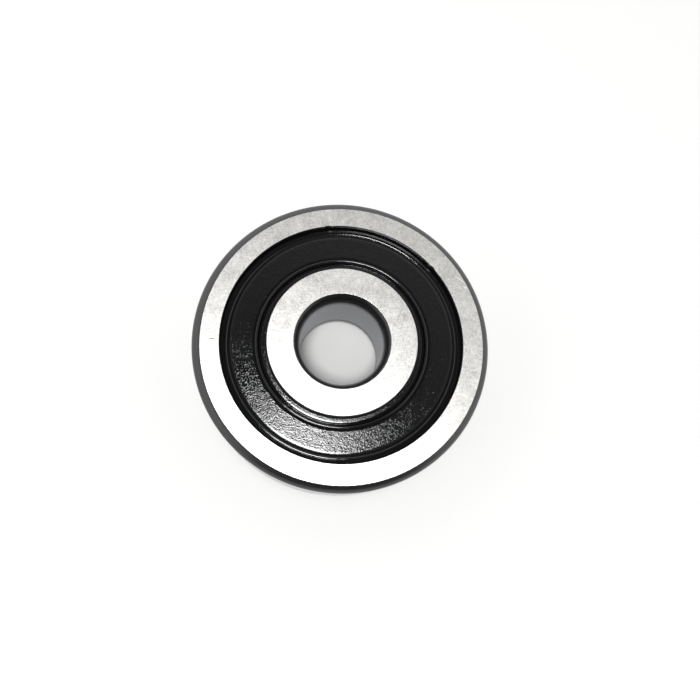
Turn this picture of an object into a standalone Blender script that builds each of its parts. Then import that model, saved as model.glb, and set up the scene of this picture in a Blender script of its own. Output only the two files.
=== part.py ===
"""Yoke-type cam follower: a sealed single-row ball bearing whose thick outer ring is the roller.

The axis of rotation is Z and the origin is the centre of the assembly, half way between its two faces.
The inner ring is fixed on a pin. The outer ring turns on seven balls, which a riveted ribbon cage
keeps apart, and a rubber seal with a steel stiffening plate closes each side.
"""

from math import acos, asin, cos, pi, sin, sqrt

import bmesh
import bpy

MM = 0.001

# Standard envelope.
BORE_RADIUS = 5.0 * MM
TREAD_RADIUS = 17.5 * MM
HALF_WIDTH = 5.5 * MM

# Rolling elements.
BALL_COUNT = 7
BALL_RADIUS = 3.175 * MM
PITCH_RADIUS = 11.25 * MM
RACE_RADIUS = 3.30 * MM
INNER_RACE_BOTTOM = 8.04 * MM
OUTER_RACE_BOTTOM = 14.50 * MM

# Rings.
TREAD_CORNER = 0.95 * MM
CORNER_TILT = pi / 9
BORE_CORNER_RADIAL = 0.75 * MM
BORE_CORNER_AXIAL = 1.50 * MM
INNER_SHOULDER = 8.85 * MM
OUTER_SHOULDER = 13.60 * MM
EDGE_BREAK = 0.09 * MM
SEAL_MOUTH = 14.26 * MM
SEAL_GROOVE = 14.64 * MM
SEAL_GROOVE_TOP = 4.75 * MM
SEAL_MOUTH_FOOT = 5.00 * MM
SEAL_SEAT = 4.15 * MM

# Seals. The rubber's underside sits a hair above the seat and the plate lies a hair under the rubber.
FIT_GAP = 0.05 * MM
SEAL_OUTER = 14.56 * MM
SEAL_RIM = 4.50 * MM
SEAL_FLAT = 4.70 * MM
SEAL_RIDGE = 13.60 * MM
SEAL_FLAT_INNER = 10.40 * MM
LIP_RADIUS = 8.93 * MM
LIP_HEIGHT = 4.46 * MM
LIP_VALLEY = 4.28 * MM
PLATE_INNER = 10.22 * MM
PLATE_OUTER = 13.45 * MM
PLATE_UNDERSIDE = 3.88 * MM

# Cage and rivets.
SHEET = 0.45 * MM
STRIP_INNER = 9.75 * MM
STRIP_OUTER = 12.75 * MM
POCKET_RADIUS = BALL_RADIUS + 0.10 * MM
HALF_SPLIT = 0.03 * MM
BEND_RADIUS = 0.60 * MM
HOLE_RADIUS = 0.56 * MM
SHANK_RADIUS = 0.50 * MM
HEAD_RADIUS = 0.95 * MM
HEAD_HEIGHT = 0.40 * MM

# Facets.
RING_STEPS = 48
RIVET_STEPS = 10
RACE_STEPS = 8
CORNER_STEPS = 3
CROWN_STEPS = 5
BEND_STEPS = 3
STRIP_STEPS = 3
MERGE = 0.002 * MM

PITCH_ANGLE = 2 * pi / BALL_COUNT


def clear_scene():
    """Remove every object that the file opened with."""
    for item in list(bpy.data.objects):
        bpy.data.objects.remove(item, do_unlink=True)


def new_collection(name):
    collection = bpy.data.collections.new(name)
    bpy.context.scene.collection.children.link(collection)
    return collection


def add_axis(collection, name):
    """An empty that stands for one axis of rotation."""
    axis = bpy.data.objects.new(name, None)
    axis.empty_display_size = 4 * MM
    collection.objects.link(axis)
    return axis


def dress(item, colour, roughness, metallic):
    """Give the object a material of its own."""
    material = bpy.data.materials.new(item.name)
    material.use_nodes = True
    shader = material.node_tree.nodes["Principled BSDF"]
    shader.inputs["Base Color"].default_value = (*colour, 1.0)
    shader.inputs["Roughness"].default_value = roughness
    shader.inputs["Metallic"].default_value = metallic
    material.diffuse_color = (*colour, 1.0)
    if not item.data.materials:
        item.data.materials.append(None)
    item.material_slots[0].link = "OBJECT"
    item.material_slots[0].material = material


def dress_steel(item):
    dress(item, (0.62, 0.62, 0.63), 0.25, 1.0)


def dress_plate(item):
    dress(item, (0.42, 0.42, 0.44), 0.40, 1.0)


def dress_rubber(item):
    dress(item, (0.02, 0.02, 0.022), 0.45, 0.0)


def add_mesh_object(collection, parent, name, mesh, location=(0, 0, 0), flipped=False):
    """Place a mesh; a flipped piece is turned over about X, which swaps front and rear."""
    item = bpy.data.objects.new(name, mesh)
    item.location = location
    item.rotation_euler = (pi if flipped else 0, 0, 0)
    item.parent = parent
    collection.objects.link(item)
    return item


def profile_mesh(name, points, closed):
    """A wire profile in the XZ plane, running down its outer side."""
    mesh = bpy.data.meshes.new(name)
    edges = [(i, i + 1) for i in range(len(points) - 1)]
    if closed:
        edges.append((len(points) - 1, 0))
    mesh.from_pydata([(radius, 0, height) for radius, height in points], edges, [])
    return mesh


def add_turning(item, steps):
    """Turn the object's profile once round Z."""
    turning = item.modifiers.new("Turning", "SCREW")
    turning.axis = "Z"
    turning.angle = 2 * pi
    turning.steps = steps
    turning.render_steps = steps
    turning.use_merge_vertices = True
    turning.merge_threshold = MERGE
    turning.use_smooth_shade = True
    item.modifiers.new("Flat faces", "WEIGHTED_NORMAL")


def arc(centre, radii, start, end, steps):
    """Points along an elliptic arc, both ends included."""
    angles = [start + (end - start) * i / steps for i in range(steps + 1)]
    return [(centre[0] + radii[0] * cos(a), centre[1] + radii[1] * sin(a)) for a in angles]


def mirrored(upper):
    """A profile's upper half followed by the same points below the mid-plane, in reverse."""
    return upper + [(radius, -height) for radius, height in reversed(upper)]


def corner_radii(width, depth):
    """Radii of the ellipse whose arc, once grinding has cut off CORNER_TILT at both ends, spans a corner."""
    span = cos(CORNER_TILT) - sin(CORNER_TILT)
    return width / span, depth / span


def outer_ring_profile():
    """Tread outside; raceway, seal seats and snap grooves inside."""
    curve = corner_radii(TREAD_CORNER, TREAD_CORNER)
    corner_centre = (TREAD_RADIUS - curve[0] * cos(CORNER_TILT), HALF_WIDTH - curve[1] * cos(CORNER_TILT))
    outside = mirrored(arc(corner_centre, curve, pi / 2 - CORNER_TILT, CORNER_TILT, CORNER_STEPS))
    mouth = [
        (SEAL_MOUTH + EDGE_BREAK, HALF_WIDTH),
        (SEAL_MOUTH, HALF_WIDTH - EDGE_BREAK),
        (SEAL_MOUTH, SEAL_MOUTH_FOOT),
        (SEAL_GROOVE, SEAL_GROOVE_TOP),
        (SEAL_GROOVE, SEAL_SEAT),
        (OUTER_SHOULDER, SEAL_SEAT),
    ]
    race_centre = OUTER_RACE_BOTTOM - RACE_RADIUS
    half_angle = acos((OUTER_SHOULDER - race_centre) / RACE_RADIUS)
    race = arc((race_centre, 0), (RACE_RADIUS, RACE_RADIUS), -half_angle, half_angle, RACE_STEPS)
    inside = [(radius, -height) for radius, height in mouth] + race + mouth[::-1]
    return outside + inside


def inner_ring_profile():
    """Raceway between two shoulders outside; plain bore with a corner at each mouth inside."""
    edge = [(INNER_SHOULDER - EDGE_BREAK, HALF_WIDTH), (INNER_SHOULDER, HALF_WIDTH - EDGE_BREAK)]
    race_centre = INNER_RACE_BOTTOM + RACE_RADIUS
    half_angle = acos((race_centre - INNER_SHOULDER) / RACE_RADIUS)
    race = arc((race_centre, 0), (RACE_RADIUS, RACE_RADIUS), pi - half_angle, pi + half_angle, RACE_STEPS)
    outside = edge + race + [(radius, -height) for radius, height in reversed(edge)]
    curve = corner_radii(BORE_CORNER_RADIAL, BORE_CORNER_AXIAL)
    mouth_centre = (BORE_RADIUS + curve[0] * cos(CORNER_TILT), HALF_WIDTH - curve[1] * cos(CORNER_TILT))
    mouth = arc(mouth_centre, curve, pi - CORNER_TILT, pi / 2 + CORNER_TILT, CORNER_STEPS)
    bore = [(radius, -height) for radius, height in reversed(mouth)] + mouth
    return outside + bore


def seal_rubber_profile():
    """Bead in the ring's groove, ridged flat, then a valley and a lip beside the inner ring."""
    underside = SEAL_SEAT + FIT_GAP
    heel = PLATE_INNER - FIT_GAP
    return [
        (SEAL_RIDGE + 0.08 * MM, SEAL_RIM),
        (SEAL_OUTER - 0.06 * MM, SEAL_RIM + 0.06 * MM),
        (SEAL_OUTER, SEAL_RIM),
        (SEAL_OUTER, underside + 0.08 * MM),
        (SEAL_OUTER - 0.08 * MM, underside),
        (heel, underside),
        (heel, PLATE_UNDERSIDE),
        (9.75 * MM, 3.97 * MM),
        (9.20 * MM, 3.87 * MM),
        (LIP_RADIUS, 4.05 * MM),
        (LIP_RADIUS, LIP_HEIGHT - 0.14 * MM),
        (LIP_RADIUS + 0.22 * MM, LIP_HEIGHT),
        (9.50 * MM, LIP_VALLEY),
        (9.68 * MM, LIP_VALLEY),
        (10.12 * MM, SEAL_FLAT),
        (SEAL_FLAT_INNER - 0.12 * MM, SEAL_FLAT - 0.10 * MM),
        (SEAL_FLAT_INNER, SEAL_FLAT),
        (SEAL_RIDGE - 0.10 * MM, SEAL_FLAT),
        (SEAL_RIDGE, SEAL_FLAT + 0.06 * MM),
    ]


def seal_plate_profile():
    """Flat washer with its outer edge eased."""
    top = SEAL_SEAT
    ease = 0.08 * MM
    return [
        (PLATE_OUTER - ease, top),
        (PLATE_OUTER, top - ease),
        (PLATE_OUTER, PLATE_UNDERSIDE),
        (PLATE_INNER, PLATE_UNDERSIDE),
        (PLATE_INNER, top),
    ]


def rivet_profile():
    """Plain shank between two domed heads, open on the axis."""
    seat = HALF_SPLIT + SHEET + 0.03 * MM
    top = seat + HEAD_HEIGHT
    half = [(0, top), (0.62 * HEAD_RADIUS, top - 0.25 * HEAD_HEIGHT), (HEAD_RADIUS, seat), (SHANK_RADIUS, seat)]
    return mirrored(half)


def pocket_path(radius):
    """Angle and height along one pitch of the ribbon's inner face, at one distance from the axis.

    A round crown over the ball runs into a bend at each side and then a flat at the rivet.
    """
    across = radius - PITCH_RADIUS
    crown = sqrt(POCKET_RADIUS ** 2 - across ** 2)
    bend_height = HALF_SPLIT + BEND_RADIUS
    bend_place = sqrt((crown + BEND_RADIUS) ** 2 - bend_height ** 2)
    meeting = asin(bend_height / (crown + BEND_RADIUS))
    rise = arc((bend_place, bend_height), (BEND_RADIUS, BEND_RADIUS), -pi / 2, meeting - pi, BEND_STEPS)
    over = arc((0, 0), (crown, crown), meeting, pi / 2, CROWN_STEPS)
    stretch = sqrt(radius * PITCH_RADIUS)
    half = [(place / stretch, height) for place, height in rise + over[1:]]
    leading = [(-angle, height) for angle, height in half]
    return leading + [(angle, height) for angle, height in reversed(half[:-1])]


def cage_half_mesh():
    """The inner face of one ribbon half: crowns over the balls, joined by flats."""
    rows = []
    for step in range(STRIP_STEPS + 1):
        radius = STRIP_INNER + (STRIP_OUTER - STRIP_INNER) * step / STRIP_STEPS
        path = pocket_path(radius)
        row = []
        for ball in range(BALL_COUNT):
            for angle, height in path:
                turn = angle + ball * PITCH_ANGLE
                row.append((radius * cos(turn), radius * sin(turn), height))
        rows.append(row)
    shape = bmesh.new()
    grid = [[shape.verts.new(point) for point in row] for row in rows]
    count = len(grid[0])
    for inner, outer in zip(grid, grid[1:]):
        for i in range(count):
            j = (i + 1) % count
            shape.faces.new((inner[i], outer[i], outer[j], inner[j]))
    mesh = bpy.data.meshes.new("cage_half")
    shape.to_mesh(mesh)
    shape.free()
    mesh.shade_smooth()
    return mesh


def add_rivet_cutters(collection):
    """One cylinder through both cage halves at each rivet."""
    for index in range(BALL_COUNT):
        turn = (index + 0.5) * PITCH_ANGLE
        place = (PITCH_RADIUS * cos(turn), PITCH_RADIUS * sin(turn), 0)
        bpy.ops.mesh.primitive_cylinder_add(vertices=12, radius=HOLE_RADIUS, depth=3 * MM, location=place)
        cutter = bpy.context.object
        cutter.name = f"rivet_hole_{index + 1}"
        cutter.hide_render = True
        cutter.display_type = "WIRE"
        for owner in list(cutter.users_collection):
            owner.objects.unlink(cutter)
        collection.objects.link(cutter)


def add_ring(collection, parent, name, profile):
    ring = add_mesh_object(collection, parent, name, profile_mesh(name, profile, True))
    add_turning(ring, RING_STEPS)
    dress_steel(ring)


def add_seals(collection, parent):
    """A rubber seal and its stiffening plate on each side; the rear pair is turned over."""
    rubber = profile_mesh("seal_rubber", seal_rubber_profile(), True)
    plate = profile_mesh("seal_plate", seal_plate_profile(), True)
    for side, flipped in (("front", False), ("rear", True)):
        seal = add_mesh_object(collection, parent, f"seal_rubber_{side}", rubber, flipped=flipped)
        add_turning(seal, RING_STEPS)
        dress_rubber(seal)
        washer = add_mesh_object(collection, parent, f"seal_plate_{side}", plate, flipped=flipped)
        add_turning(washer, RING_STEPS)
        dress_plate(washer)


def add_cage(collection, parent, cutters):
    """Two ribbon halves and the rivets between the pockets."""
    ribbon = cage_half_mesh()
    for side, flipped in (("front", False), ("rear", True)):
        half = add_mesh_object(collection, parent, f"cage_half_{side}", ribbon, flipped=flipped)
        wall = half.modifiers.new("Sheet", "SOLIDIFY")
        wall.thickness = SHEET
        wall.offset = 1
        wall.use_even_offset = True
        holes = half.modifiers.new("Rivet holes", "BOOLEAN")
        holes.operation = "DIFFERENCE"
        holes.solver = "EXACT"
        holes.operand_type = "COLLECTION"
        holes.collection = cutters
        dress_plate(half)
    rivet = profile_mesh("cage_rivet", rivet_profile(), False)
    for index in range(BALL_COUNT):
        turn = (index + 0.5) * PITCH_ANGLE
        place = (PITCH_RADIUS * cos(turn), PITCH_RADIUS * sin(turn), 0)
        pin = add_mesh_object(collection, parent, f"cage_rivet_{index + 1}", rivet, place)
        add_turning(pin, RIVET_STEPS)
        dress_plate(pin)


def add_balls(collection, parent):
    """The balls, each with its origin at its own centre; the first lies on +X."""
    bpy.ops.mesh.primitive_ico_sphere_add(subdivisions=3, radius=BALL_RADIUS)
    first = bpy.context.object
    mesh = first.data
    bpy.data.objects.remove(first)
    mesh.shade_smooth()
    for index in range(BALL_COUNT):
        turn = index * PITCH_ANGLE
        place = (PITCH_RADIUS * cos(turn), PITCH_RADIUS * sin(turn), 0)
        ball = add_mesh_object(collection, parent, f"ball_{index + 1}", mesh, place)
        dress_steel(ball)


def main():
    clear_scene()
    assembly = new_collection("Cam follower")
    cutters = new_collection("Cutters")
    pin_axis = add_axis(assembly, "fixed_axis")
    roller_axis = add_axis(assembly, "outer_spin_axis")
    orbit_axis = add_axis(assembly, "cage_orbit_axis")
    add_ring(assembly, pin_axis, "inner_ring", inner_ring_profile())
    add_ring(assembly, roller_axis, "outer_ring", outer_ring_profile())
    add_seals(assembly, roller_axis)
    add_balls(assembly, orbit_axis)
    add_rivet_cutters(cutters)
    add_cage(assembly, orbit_axis, cutters)


main()
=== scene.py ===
"""Looks of a yoke-type cam follower, a sealed ball bearing whose thick outer ring is the roller.

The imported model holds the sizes, the joints and the axis of rotation, which is Z. Each sub-assembly
is a class that turns, presses or moulds its pieces in the same frame and dresses them in a finish.
"""

import logging
from collections.abc import Iterable, Mapping
from dataclasses import dataclass, field
from enum import Enum
from math import acos, asin, atan2, cos, hypot, pi, radians, sin, sqrt

import bmesh
import bpy
from mathutils import Matrix, Vector


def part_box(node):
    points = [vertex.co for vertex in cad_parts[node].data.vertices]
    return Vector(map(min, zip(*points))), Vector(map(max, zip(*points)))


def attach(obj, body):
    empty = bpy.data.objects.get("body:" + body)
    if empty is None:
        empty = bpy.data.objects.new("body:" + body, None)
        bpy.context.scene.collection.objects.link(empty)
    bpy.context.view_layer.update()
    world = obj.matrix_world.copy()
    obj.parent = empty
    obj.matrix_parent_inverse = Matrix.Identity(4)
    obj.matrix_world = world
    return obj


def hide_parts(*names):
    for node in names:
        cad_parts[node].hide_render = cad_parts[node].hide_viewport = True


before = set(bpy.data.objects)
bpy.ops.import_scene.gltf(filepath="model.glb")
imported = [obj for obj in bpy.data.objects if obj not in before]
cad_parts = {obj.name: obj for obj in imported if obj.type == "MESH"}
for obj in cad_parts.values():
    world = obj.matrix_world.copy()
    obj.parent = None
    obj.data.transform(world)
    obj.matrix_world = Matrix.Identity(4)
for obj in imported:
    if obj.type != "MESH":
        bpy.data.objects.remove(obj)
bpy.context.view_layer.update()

MM = 0.001
LOG = logging.getLogger("cam_follower")

Point = tuple[float, float]
Value = object
Tree = bpy.types.NodeTree
Socket = bpy.types.NodeSocket
Material = bpy.types.Material

BAND_FADE = 0.20 * MM
CLOSE = 0.001 * MM


class Side(Enum):
    """Which face of the follower a piece belongs to, as the sign of its height."""

    FRONT = 1
    REAR = -1


class Zone(Enum):
    """A ring's kinds of surface, by the material slot that each takes."""

    FACE = 0
    CORNER = 1
    TREAD = 2
    BORE = 3


# ---------------------------------------------------------------- small helpers


def linear(code: str) -> tuple[float, float, float, float]:
    """Turn an sRGB hex colour into linear RGBA.

    Args:
        code: six hex digits, with or without a leading #.

    Returns:
        The colour as four linear floats, with alpha 1.
    """
    digits = code.lstrip("#")
    channels = [int(digits[i : i + 2], 16) / 255 for i in (0, 2, 4)]
    red, green, blue = (c / 12.92 if c <= 0.04045 else ((c + 0.055) / 1.055) ** 2.4 for c in channels)
    return (red, green, blue, 1.0)


def add_node(tree: Tree, kind: str, links: Mapping[Value, Value], **settings: Value) -> bpy.types.Node:
    """Add one node with its settings, values and links.

    Args:
        tree: the shader or geometry tree.
        kind: the node's type name.
        links: input name or index to a constant or to another node's output socket.
        **settings: the node's own properties.

    Returns:
        The new node.
    """
    node = tree.nodes.new(kind)
    for name, value in settings.items():
        setattr(node, name, value)
    for name, value in links.items():
        if isinstance(value, Socket):
            tree.links.new(value, node.inputs[name])
        else:
            node.inputs[name].default_value = value
    return node


def maths(tree: Tree, operation: str, *values: Value, clamp: bool = False) -> Socket:
    """Add a Math node.

    Args:
        tree: a shader or geometry tree.
        operation: what it does.
        *values: its inputs in order, as numbers or sockets.
        clamp: whether the result is kept between 0 and 1.

    Returns:
        The result.
    """
    links = dict(enumerate(values))
    return add_node(tree, "ShaderNodeMath", links, operation=operation, use_clamp=clamp).outputs[0]


def vectors(tree: Tree, operation: str, *values: Value) -> Socket:
    """Add a Vector Math node.

    Args:
        tree: a shader or geometry tree.
        operation: what it does.
        *values: its vectors in order, as tuples or sockets.

    Returns:
        The result: a number for a length or a dot product, or else a vector.
    """
    node = add_node(tree, "ShaderNodeVectorMath", dict(enumerate(values)), operation=operation)
    return node.outputs["Value" if operation in ("LENGTH", "DOT_PRODUCT") else "Vector"]


def remap(
    tree: Tree, value: Socket, limits: Point, levels: Point = (0.0, 1.0), easing: str = "LINEAR"
) -> Socket:
    """Move from one level to another as a value crosses from one limit to the other.

    Args:
        tree: the tree.
        value: what is compared with the limits.
        limits: where the change begins and ends.
        levels: the levels before and after it.
        easing: the Map Range node's interpolation.

    Returns:
        The level.
    """
    inputs = {"Value": value, "From Min": limits[0], "From Max": limits[1]}
    inputs |= {"To Min": levels[0], "To Max": levels[1]}
    return add_node(tree, "ShaderNodeMapRange", inputs, interpolation_type=easing).outputs[0]


def noise(tree: Tree, place: Socket, scale: float, detail: float, roughness: float = 0.5) -> Socket:
    """Add a Noise Texture.

    Args:
        tree: the tree.
        place: its coordinates.
        scale: how many cells there are to a unit of them.
        detail: how many finer octaves it has.
        roughness: how strong those are.

    Returns:
        A socket from 0 to 1.
    """
    links = {"Vector": place, "Scale": scale, "Detail": detail, "Roughness": roughness}
    return add_node(tree, "ShaderNodeTexNoise", links).outputs["Fac"]


def spread(start: float, end: float, steps: int) -> list[float]:
    """Space values evenly from start to end, both included."""
    return [start + (end - start) * i / steps for i in range(steps + 1)]


def node_radii(name: str) -> tuple[float, float]:
    """Measure a CAD node's smallest and largest distance from the axis."""
    distances = [hypot(v.co.x, v.co.y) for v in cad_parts[name].data.vertices]
    return min(distances), max(distances)


# ---------------------------------------------------------------- finishes


@dataclass(frozen=True)
class Scratch:
    """One fine line scored into a ground face by handling."""

    middle: Point
    length: float
    heading: float
    width: float = 0.05 * MM
    shade: str = "#4A4A4C"

    def mask(self, tree: Tree, place: Socket) -> Socket:
        """Draw the line on the face.

        Args:
            tree: the material's tree.
            place: the Object coordinates.

        Returns:
            A socket that is 1 on the scratch and 0 away from it.
        """
        turned_place = stamp(tree, place, self.middle, self.heading, (self.length / 2, self.width))
        away = vectors(tree, "LENGTH", vectors(tree, "MULTIPLY", turned_place, (1, 1, 0)))
        line = remap(tree, away, (0.7, 1.1), (1.0, 0.0))
        # The finish is on both faces of a ring, and only the upper one was handled.
        height = add_node(tree, "ShaderNodeSeparateXYZ", {"Vector": place}).outputs["Z"]
        return maths(tree, "MULTIPLY", line, maths(tree, "GREATER_THAN", height, 0.0))


@dataclass(frozen=True)
class GroundFace:
    """Through-hardened bearing steel, face ground: bright and cloudy, with crossing wheel marks."""

    name: str
    scratches: tuple[Scratch, ...] = ()
    colour: str = "#DBDAD7"
    dull: str = "#A6A5A2"
    roughness: float = 0.38
    mark_pitch: float = 0.15 * MM
    mark_stretch: float = 8.0
    mark_headings: tuple[float, ...] = (38.0, 97.0, -12.0)
    mark_depth: float = 0.0060 * MM
    cloud_size: float = 1.7 * MM
    cloud_share: float = 0.6
    tone_limits: Point = (1.80, 2.80)

    def marks(self, tree: Tree, place: Socket) -> Socket:
        """Build the height pattern of the wheel marks, which cross where the cup wheel comes and goes.

        Args:
            tree: the material's tree.
            place: the Object coordinates.

        Returns:
            A socket that is low in the grooves and high on the ridges.
        """
        # The grit leaves lines of about 0.03 mm; they are drawn five times as coarse so that they show.
        total = noise(tree, place, 1 / self.mark_pitch, 1.0)
        for heading in self.mark_headings:
            mark = (self.mark_pitch, self.mark_stretch * self.mark_pitch)
            lines = stamp(tree, place, (0, 0), heading, mark)
            total = maths(tree, "ADD", total, noise(tree, lines, 1.0, 2.0, 0.6))
        return total

    def build(self) -> Material:
        """Make the material: iron's grey, metallic, with the default IOR.

        Returns:
            The material.
        """
        material, tree, shader, place = new_material(self.name, {"Metallic": 1.0})
        clouds = noise(tree, place, 1 / self.cloud_size, 5.0, 0.62)
        marks = self.marks(tree, place)
        tone = remap(tree, maths(tree, "MULTIPLY_ADD", clouds, self.cloud_share, marks), self.tone_limits)
        colour = tint(tree, tone, self.dull, self.colour)
        for scratch in self.scratches:
            colour = tint(tree, scratch.mask(tree, place), colour, scratch.shade)
        tree.links.new(colour, shader.inputs["Base Color"])
        rough = remap(tree, clouds, (0.3, 0.7), (self.roughness - 0.01, self.roughness + 0.015))
        tree.links.new(rough, shader.inputs["Roughness"])
        emboss(tree, shader, marks, self.mark_depth)
        return material


@dataclass(frozen=True)
class RingMarks:
    """Tone and relief in rings round the axis, as a tool leaves them on a turning part."""

    pitch: float
    depth: float
    limits: Point
    low: str
    high: str

    def apply(self, tree: Tree, shader: bpy.types.Node, place: Socket) -> None:
        """Put the marks on a shader.

        Args:
            tree: the material's tree.
            shader: its Principled shader.
            place: the Object coordinates.
        """
        streaks = ring_streaks(tree, place, self.pitch)
        colour = tint(tree, remap(tree, streaks, self.limits), self.low, self.high)
        tree.links.new(colour, shader.inputs["Base Color"])
        emboss(tree, shader, streaks, self.depth)


@dataclass(frozen=True)
class RingedSteel:
    """Hardened bearing steel cut or ground in rotation, so that its marks run round the axis.

    Ground fine it is the bright tread and raceway, and left a little coarser it is the bore, given a greyer
    colour as painted shade of the hole.
    """

    name: str
    colour: str
    dark: str
    roughness: float
    pitch: float = 0.16 * MM
    depth: float = 0.002 * MM

    def build(self) -> Material:
        """Make the material, its tone broken up along the marks.

        Returns:
            The material.
        """
        constants = {"Metallic": 1.0, "Roughness": self.roughness}
        material, tree, shader, place = new_material(self.name, constants)
        RingMarks(self.pitch, self.depth, (0.3, 0.7), self.dark, self.colour).apply(tree, shader, place)
        return material


@dataclass(frozen=True)
class ScaleAndPaintedShadeSteel:
    """Corners left as turned and hardened: black heat scale under rust oil, ringed by the tool.

    Oxide and oil are not bare metal, so they are near black seen square on and grey at a slant. It also
    paints shade in the seal's mouth.
    """

    name: str
    colour: str = "#0A0A0B"
    worn: str = "#1A1A1C"
    roughness: float = 0.30
    feed: float = 0.12 * MM
    depth: float = 0.006 * MM

    def build(self) -> Material:
        """Make the material, its tone broken up along the feed marks.

        Returns:
            The material.
        """
        constants = {"Roughness": self.roughness, "IOR": 1.52}
        material, tree, shader, place = new_material(self.name, constants)
        RingMarks(self.feed, self.depth, (0.4, 0.75), self.colour, self.worn).apply(tree, shader, place)
        return material


@dataclass(frozen=True)
class LappedSteel:
    """Balls lapped to a mirror: almost no scatter, with the faintest haze."""

    name: str
    colour: str = "#D2D2D3"
    roughness: float = 0.06
    haze_size: float = 1.2 * MM

    def build(self) -> Material:
        """Make the material with a haze that varies over a millimetre or so.

        Returns:
            The material.
        """
        constants = {"Base Color": linear(self.colour), "Metallic": 1.0}
        material, tree, shader, place = new_material(self.name, constants)
        haze = noise(tree, place, 1 / self.haze_size, 2.0)
        rough = remap(tree, haze, (0.0, 1.0), (self.roughness, self.roughness * 1.8))
        tree.links.new(rough, shader.inputs["Roughness"])
        return material


@dataclass(frozen=True)
class PressedSteel:
    """Cold-rolled strip, pressed and tumbled: satin, with soft rolling grain and small dents."""

    name: str
    colour: str = "#A9A7A2"
    dull: str = "#8F8D89"
    roughness: float = 0.36
    grain: float = 0.35 * MM
    depth: float = 0.003 * MM

    def build(self) -> Material:
        """Make the material; the tumbling shows as a shallow dimpling.

        Returns:
            The material.
        """
        constants = {"Metallic": 1.0, "Roughness": self.roughness}
        material, tree, shader, place = new_material(self.name, constants)
        dimples = noise(tree, place, 1 / self.grain, 4.0, 0.55)
        tree.links.new(tint(tree, dimples, self.dull, self.colour), shader.inputs["Base Color"])
        emboss(tree, shader, dimples, self.depth)
        return material


@dataclass(frozen=True)
class MouldedRubber:
    """Black nitrile rubber from a polished mould, with one eroded band that leaves it grained.

    The polished parts are deep black and glossy. The grained band scatters glints of the lamp.
    """

    name: str
    grain_inner: float
    grain_outer: float
    colour: str = "#060607"
    roughness: float = 0.09
    grain: float = 0.15 * MM
    depth: float = 0.026 * MM
    lip_outer: float = 9.55 * MM

    def build(self) -> Material:
        """Make the material, its grain kept to the eroded band and to the worn lip.

        Returns:
            The material.
        """
        constants = {"Base Color": linear(self.colour), "Roughness": self.roughness, "IOR": 1.52}
        material, tree, shader, place = new_material(self.name, constants)
        radius = radius_of(tree, place)
        eroded = soft_band(tree, radius, self.grain_inner, self.grain_outer)
        lip = soft_band(tree, radius, 0.0, self.lip_outer)
        amount = maths(tree, "MULTIPLY_ADD", lip, 1.0, eroded)
        # Spark erosion leaves grains of 0.1 mm; they are drawn half as coarse again so that they show.
        grains = noise(tree, place, 1 / self.grain, 2.0)
        emboss(tree, shader, maths(tree, "MULTIPLY", grains, amount), self.depth)
        return material


@dataclass(frozen=True)
class MattePaper:
    """The sweep that the follower lies on: smooth white card, plain and dull."""

    name: str
    colour: str = "#BEBEBD"
    roughness: float = 0.7

    def build(self) -> Material:
        """Make the material.

        Returns:
            The material.
        """
        return new_material(self.name, {"Base Color": linear(self.colour), "Roughness": self.roughness})[0]


def new_material(name: str, constants: Mapping[str, Value]) -> tuple[Material, Tree, bpy.types.Node, Socket]:
    """Start a material.

    Args:
        name: the finish's name.
        constants: the shader's inputs that don't vary.

    Returns:
        The material, its tree, its Principled shader and the Object coordinates.
    """
    material = bpy.data.materials.new(name)
    material.use_nodes = True
    tree = material.node_tree
    shader = tree.nodes["Principled BSDF"]
    for label, value in constants.items():
        shader.inputs[label].default_value = value
    place = add_node(tree, "ShaderNodeTexCoord", {}).outputs["Object"]
    return material, tree, shader, place


def tint(tree: Tree, amount: Socket, start: str | Socket, end: str) -> Socket:
    """Blend one colour into another.

    Args:
        tree: the material's tree.
        amount: 0 for the first colour, 1 for the second.
        start: the first, as an sRGB hex code or a socket.
        end: the second, as an sRGB hex code.

    Returns:
        The colour.
    """
    first = linear(start) if isinstance(start, str) else start
    return add_node(tree, "ShaderNodeMix", {0: amount, 6: first, 7: linear(end)}, data_type="RGBA").outputs[2]


def emboss(tree: Tree, shader: bpy.types.Node, height: Socket, depth: float) -> None:
    """Give a shader relief.

    Args:
        tree: the material's tree.
        shader: its Principled shader.
        height: the relief, from 0 to 1.
        depth: what 1 stands for, in metres.
    """
    bump = add_node(tree, "ShaderNodeBump", {"Height": height, "Distance": depth, "Strength": 1.0})
    tree.links.new(bump.outputs[0], shader.inputs["Normal"])


def stamp(tree: Tree, place: Socket, middle: Point, heading: float, size: Point) -> Socket:
    """Lay out coordinates on a ring's face that are moved, turned and scaled.

    Args:
        tree: the material's tree.
        place: the Object coordinates.
        middle: where they are zero.
        heading: their turn about Z, in degrees.
        size: how long one unit of each is.

    Returns:
        The new coordinates.
    """
    links = {"Vector": place, "Location": (*middle, 0), "Scale": (*size, 1)}
    links["Rotation"] = (0, 0, radians(heading))
    return add_node(tree, "ShaderNodeMapping", links, vector_type="TEXTURE").outputs[0]


def radius_of(tree: Tree, place: Socket) -> Socket:
    """Measure a point's distance from the axis of rotation."""
    return vectors(tree, "LENGTH", vectors(tree, "MULTIPLY", place, (1, 1, 0)))


def soft_band(tree: Tree, radius: Socket, inner: Value, outer: Value) -> Socket:
    """Mark a band between two radii, with soft edges.

    Args:
        tree: a shader or geometry tree.
        radius: the distance from the axis.
        inner: where the band begins, as a number or a socket.
        outer: where it ends.

    Returns:
        A socket that is 1 in the band and 0 outside it.
    """
    depths = (maths(tree, "SUBTRACT", radius, inner), maths(tree, "SUBTRACT", outer, radius))
    ramps = [maths(tree, "MULTIPLY", depth, 1 / BAND_FADE, clamp=True) for depth in depths]
    return maths(tree, "MULTIPLY", *ramps)


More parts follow.
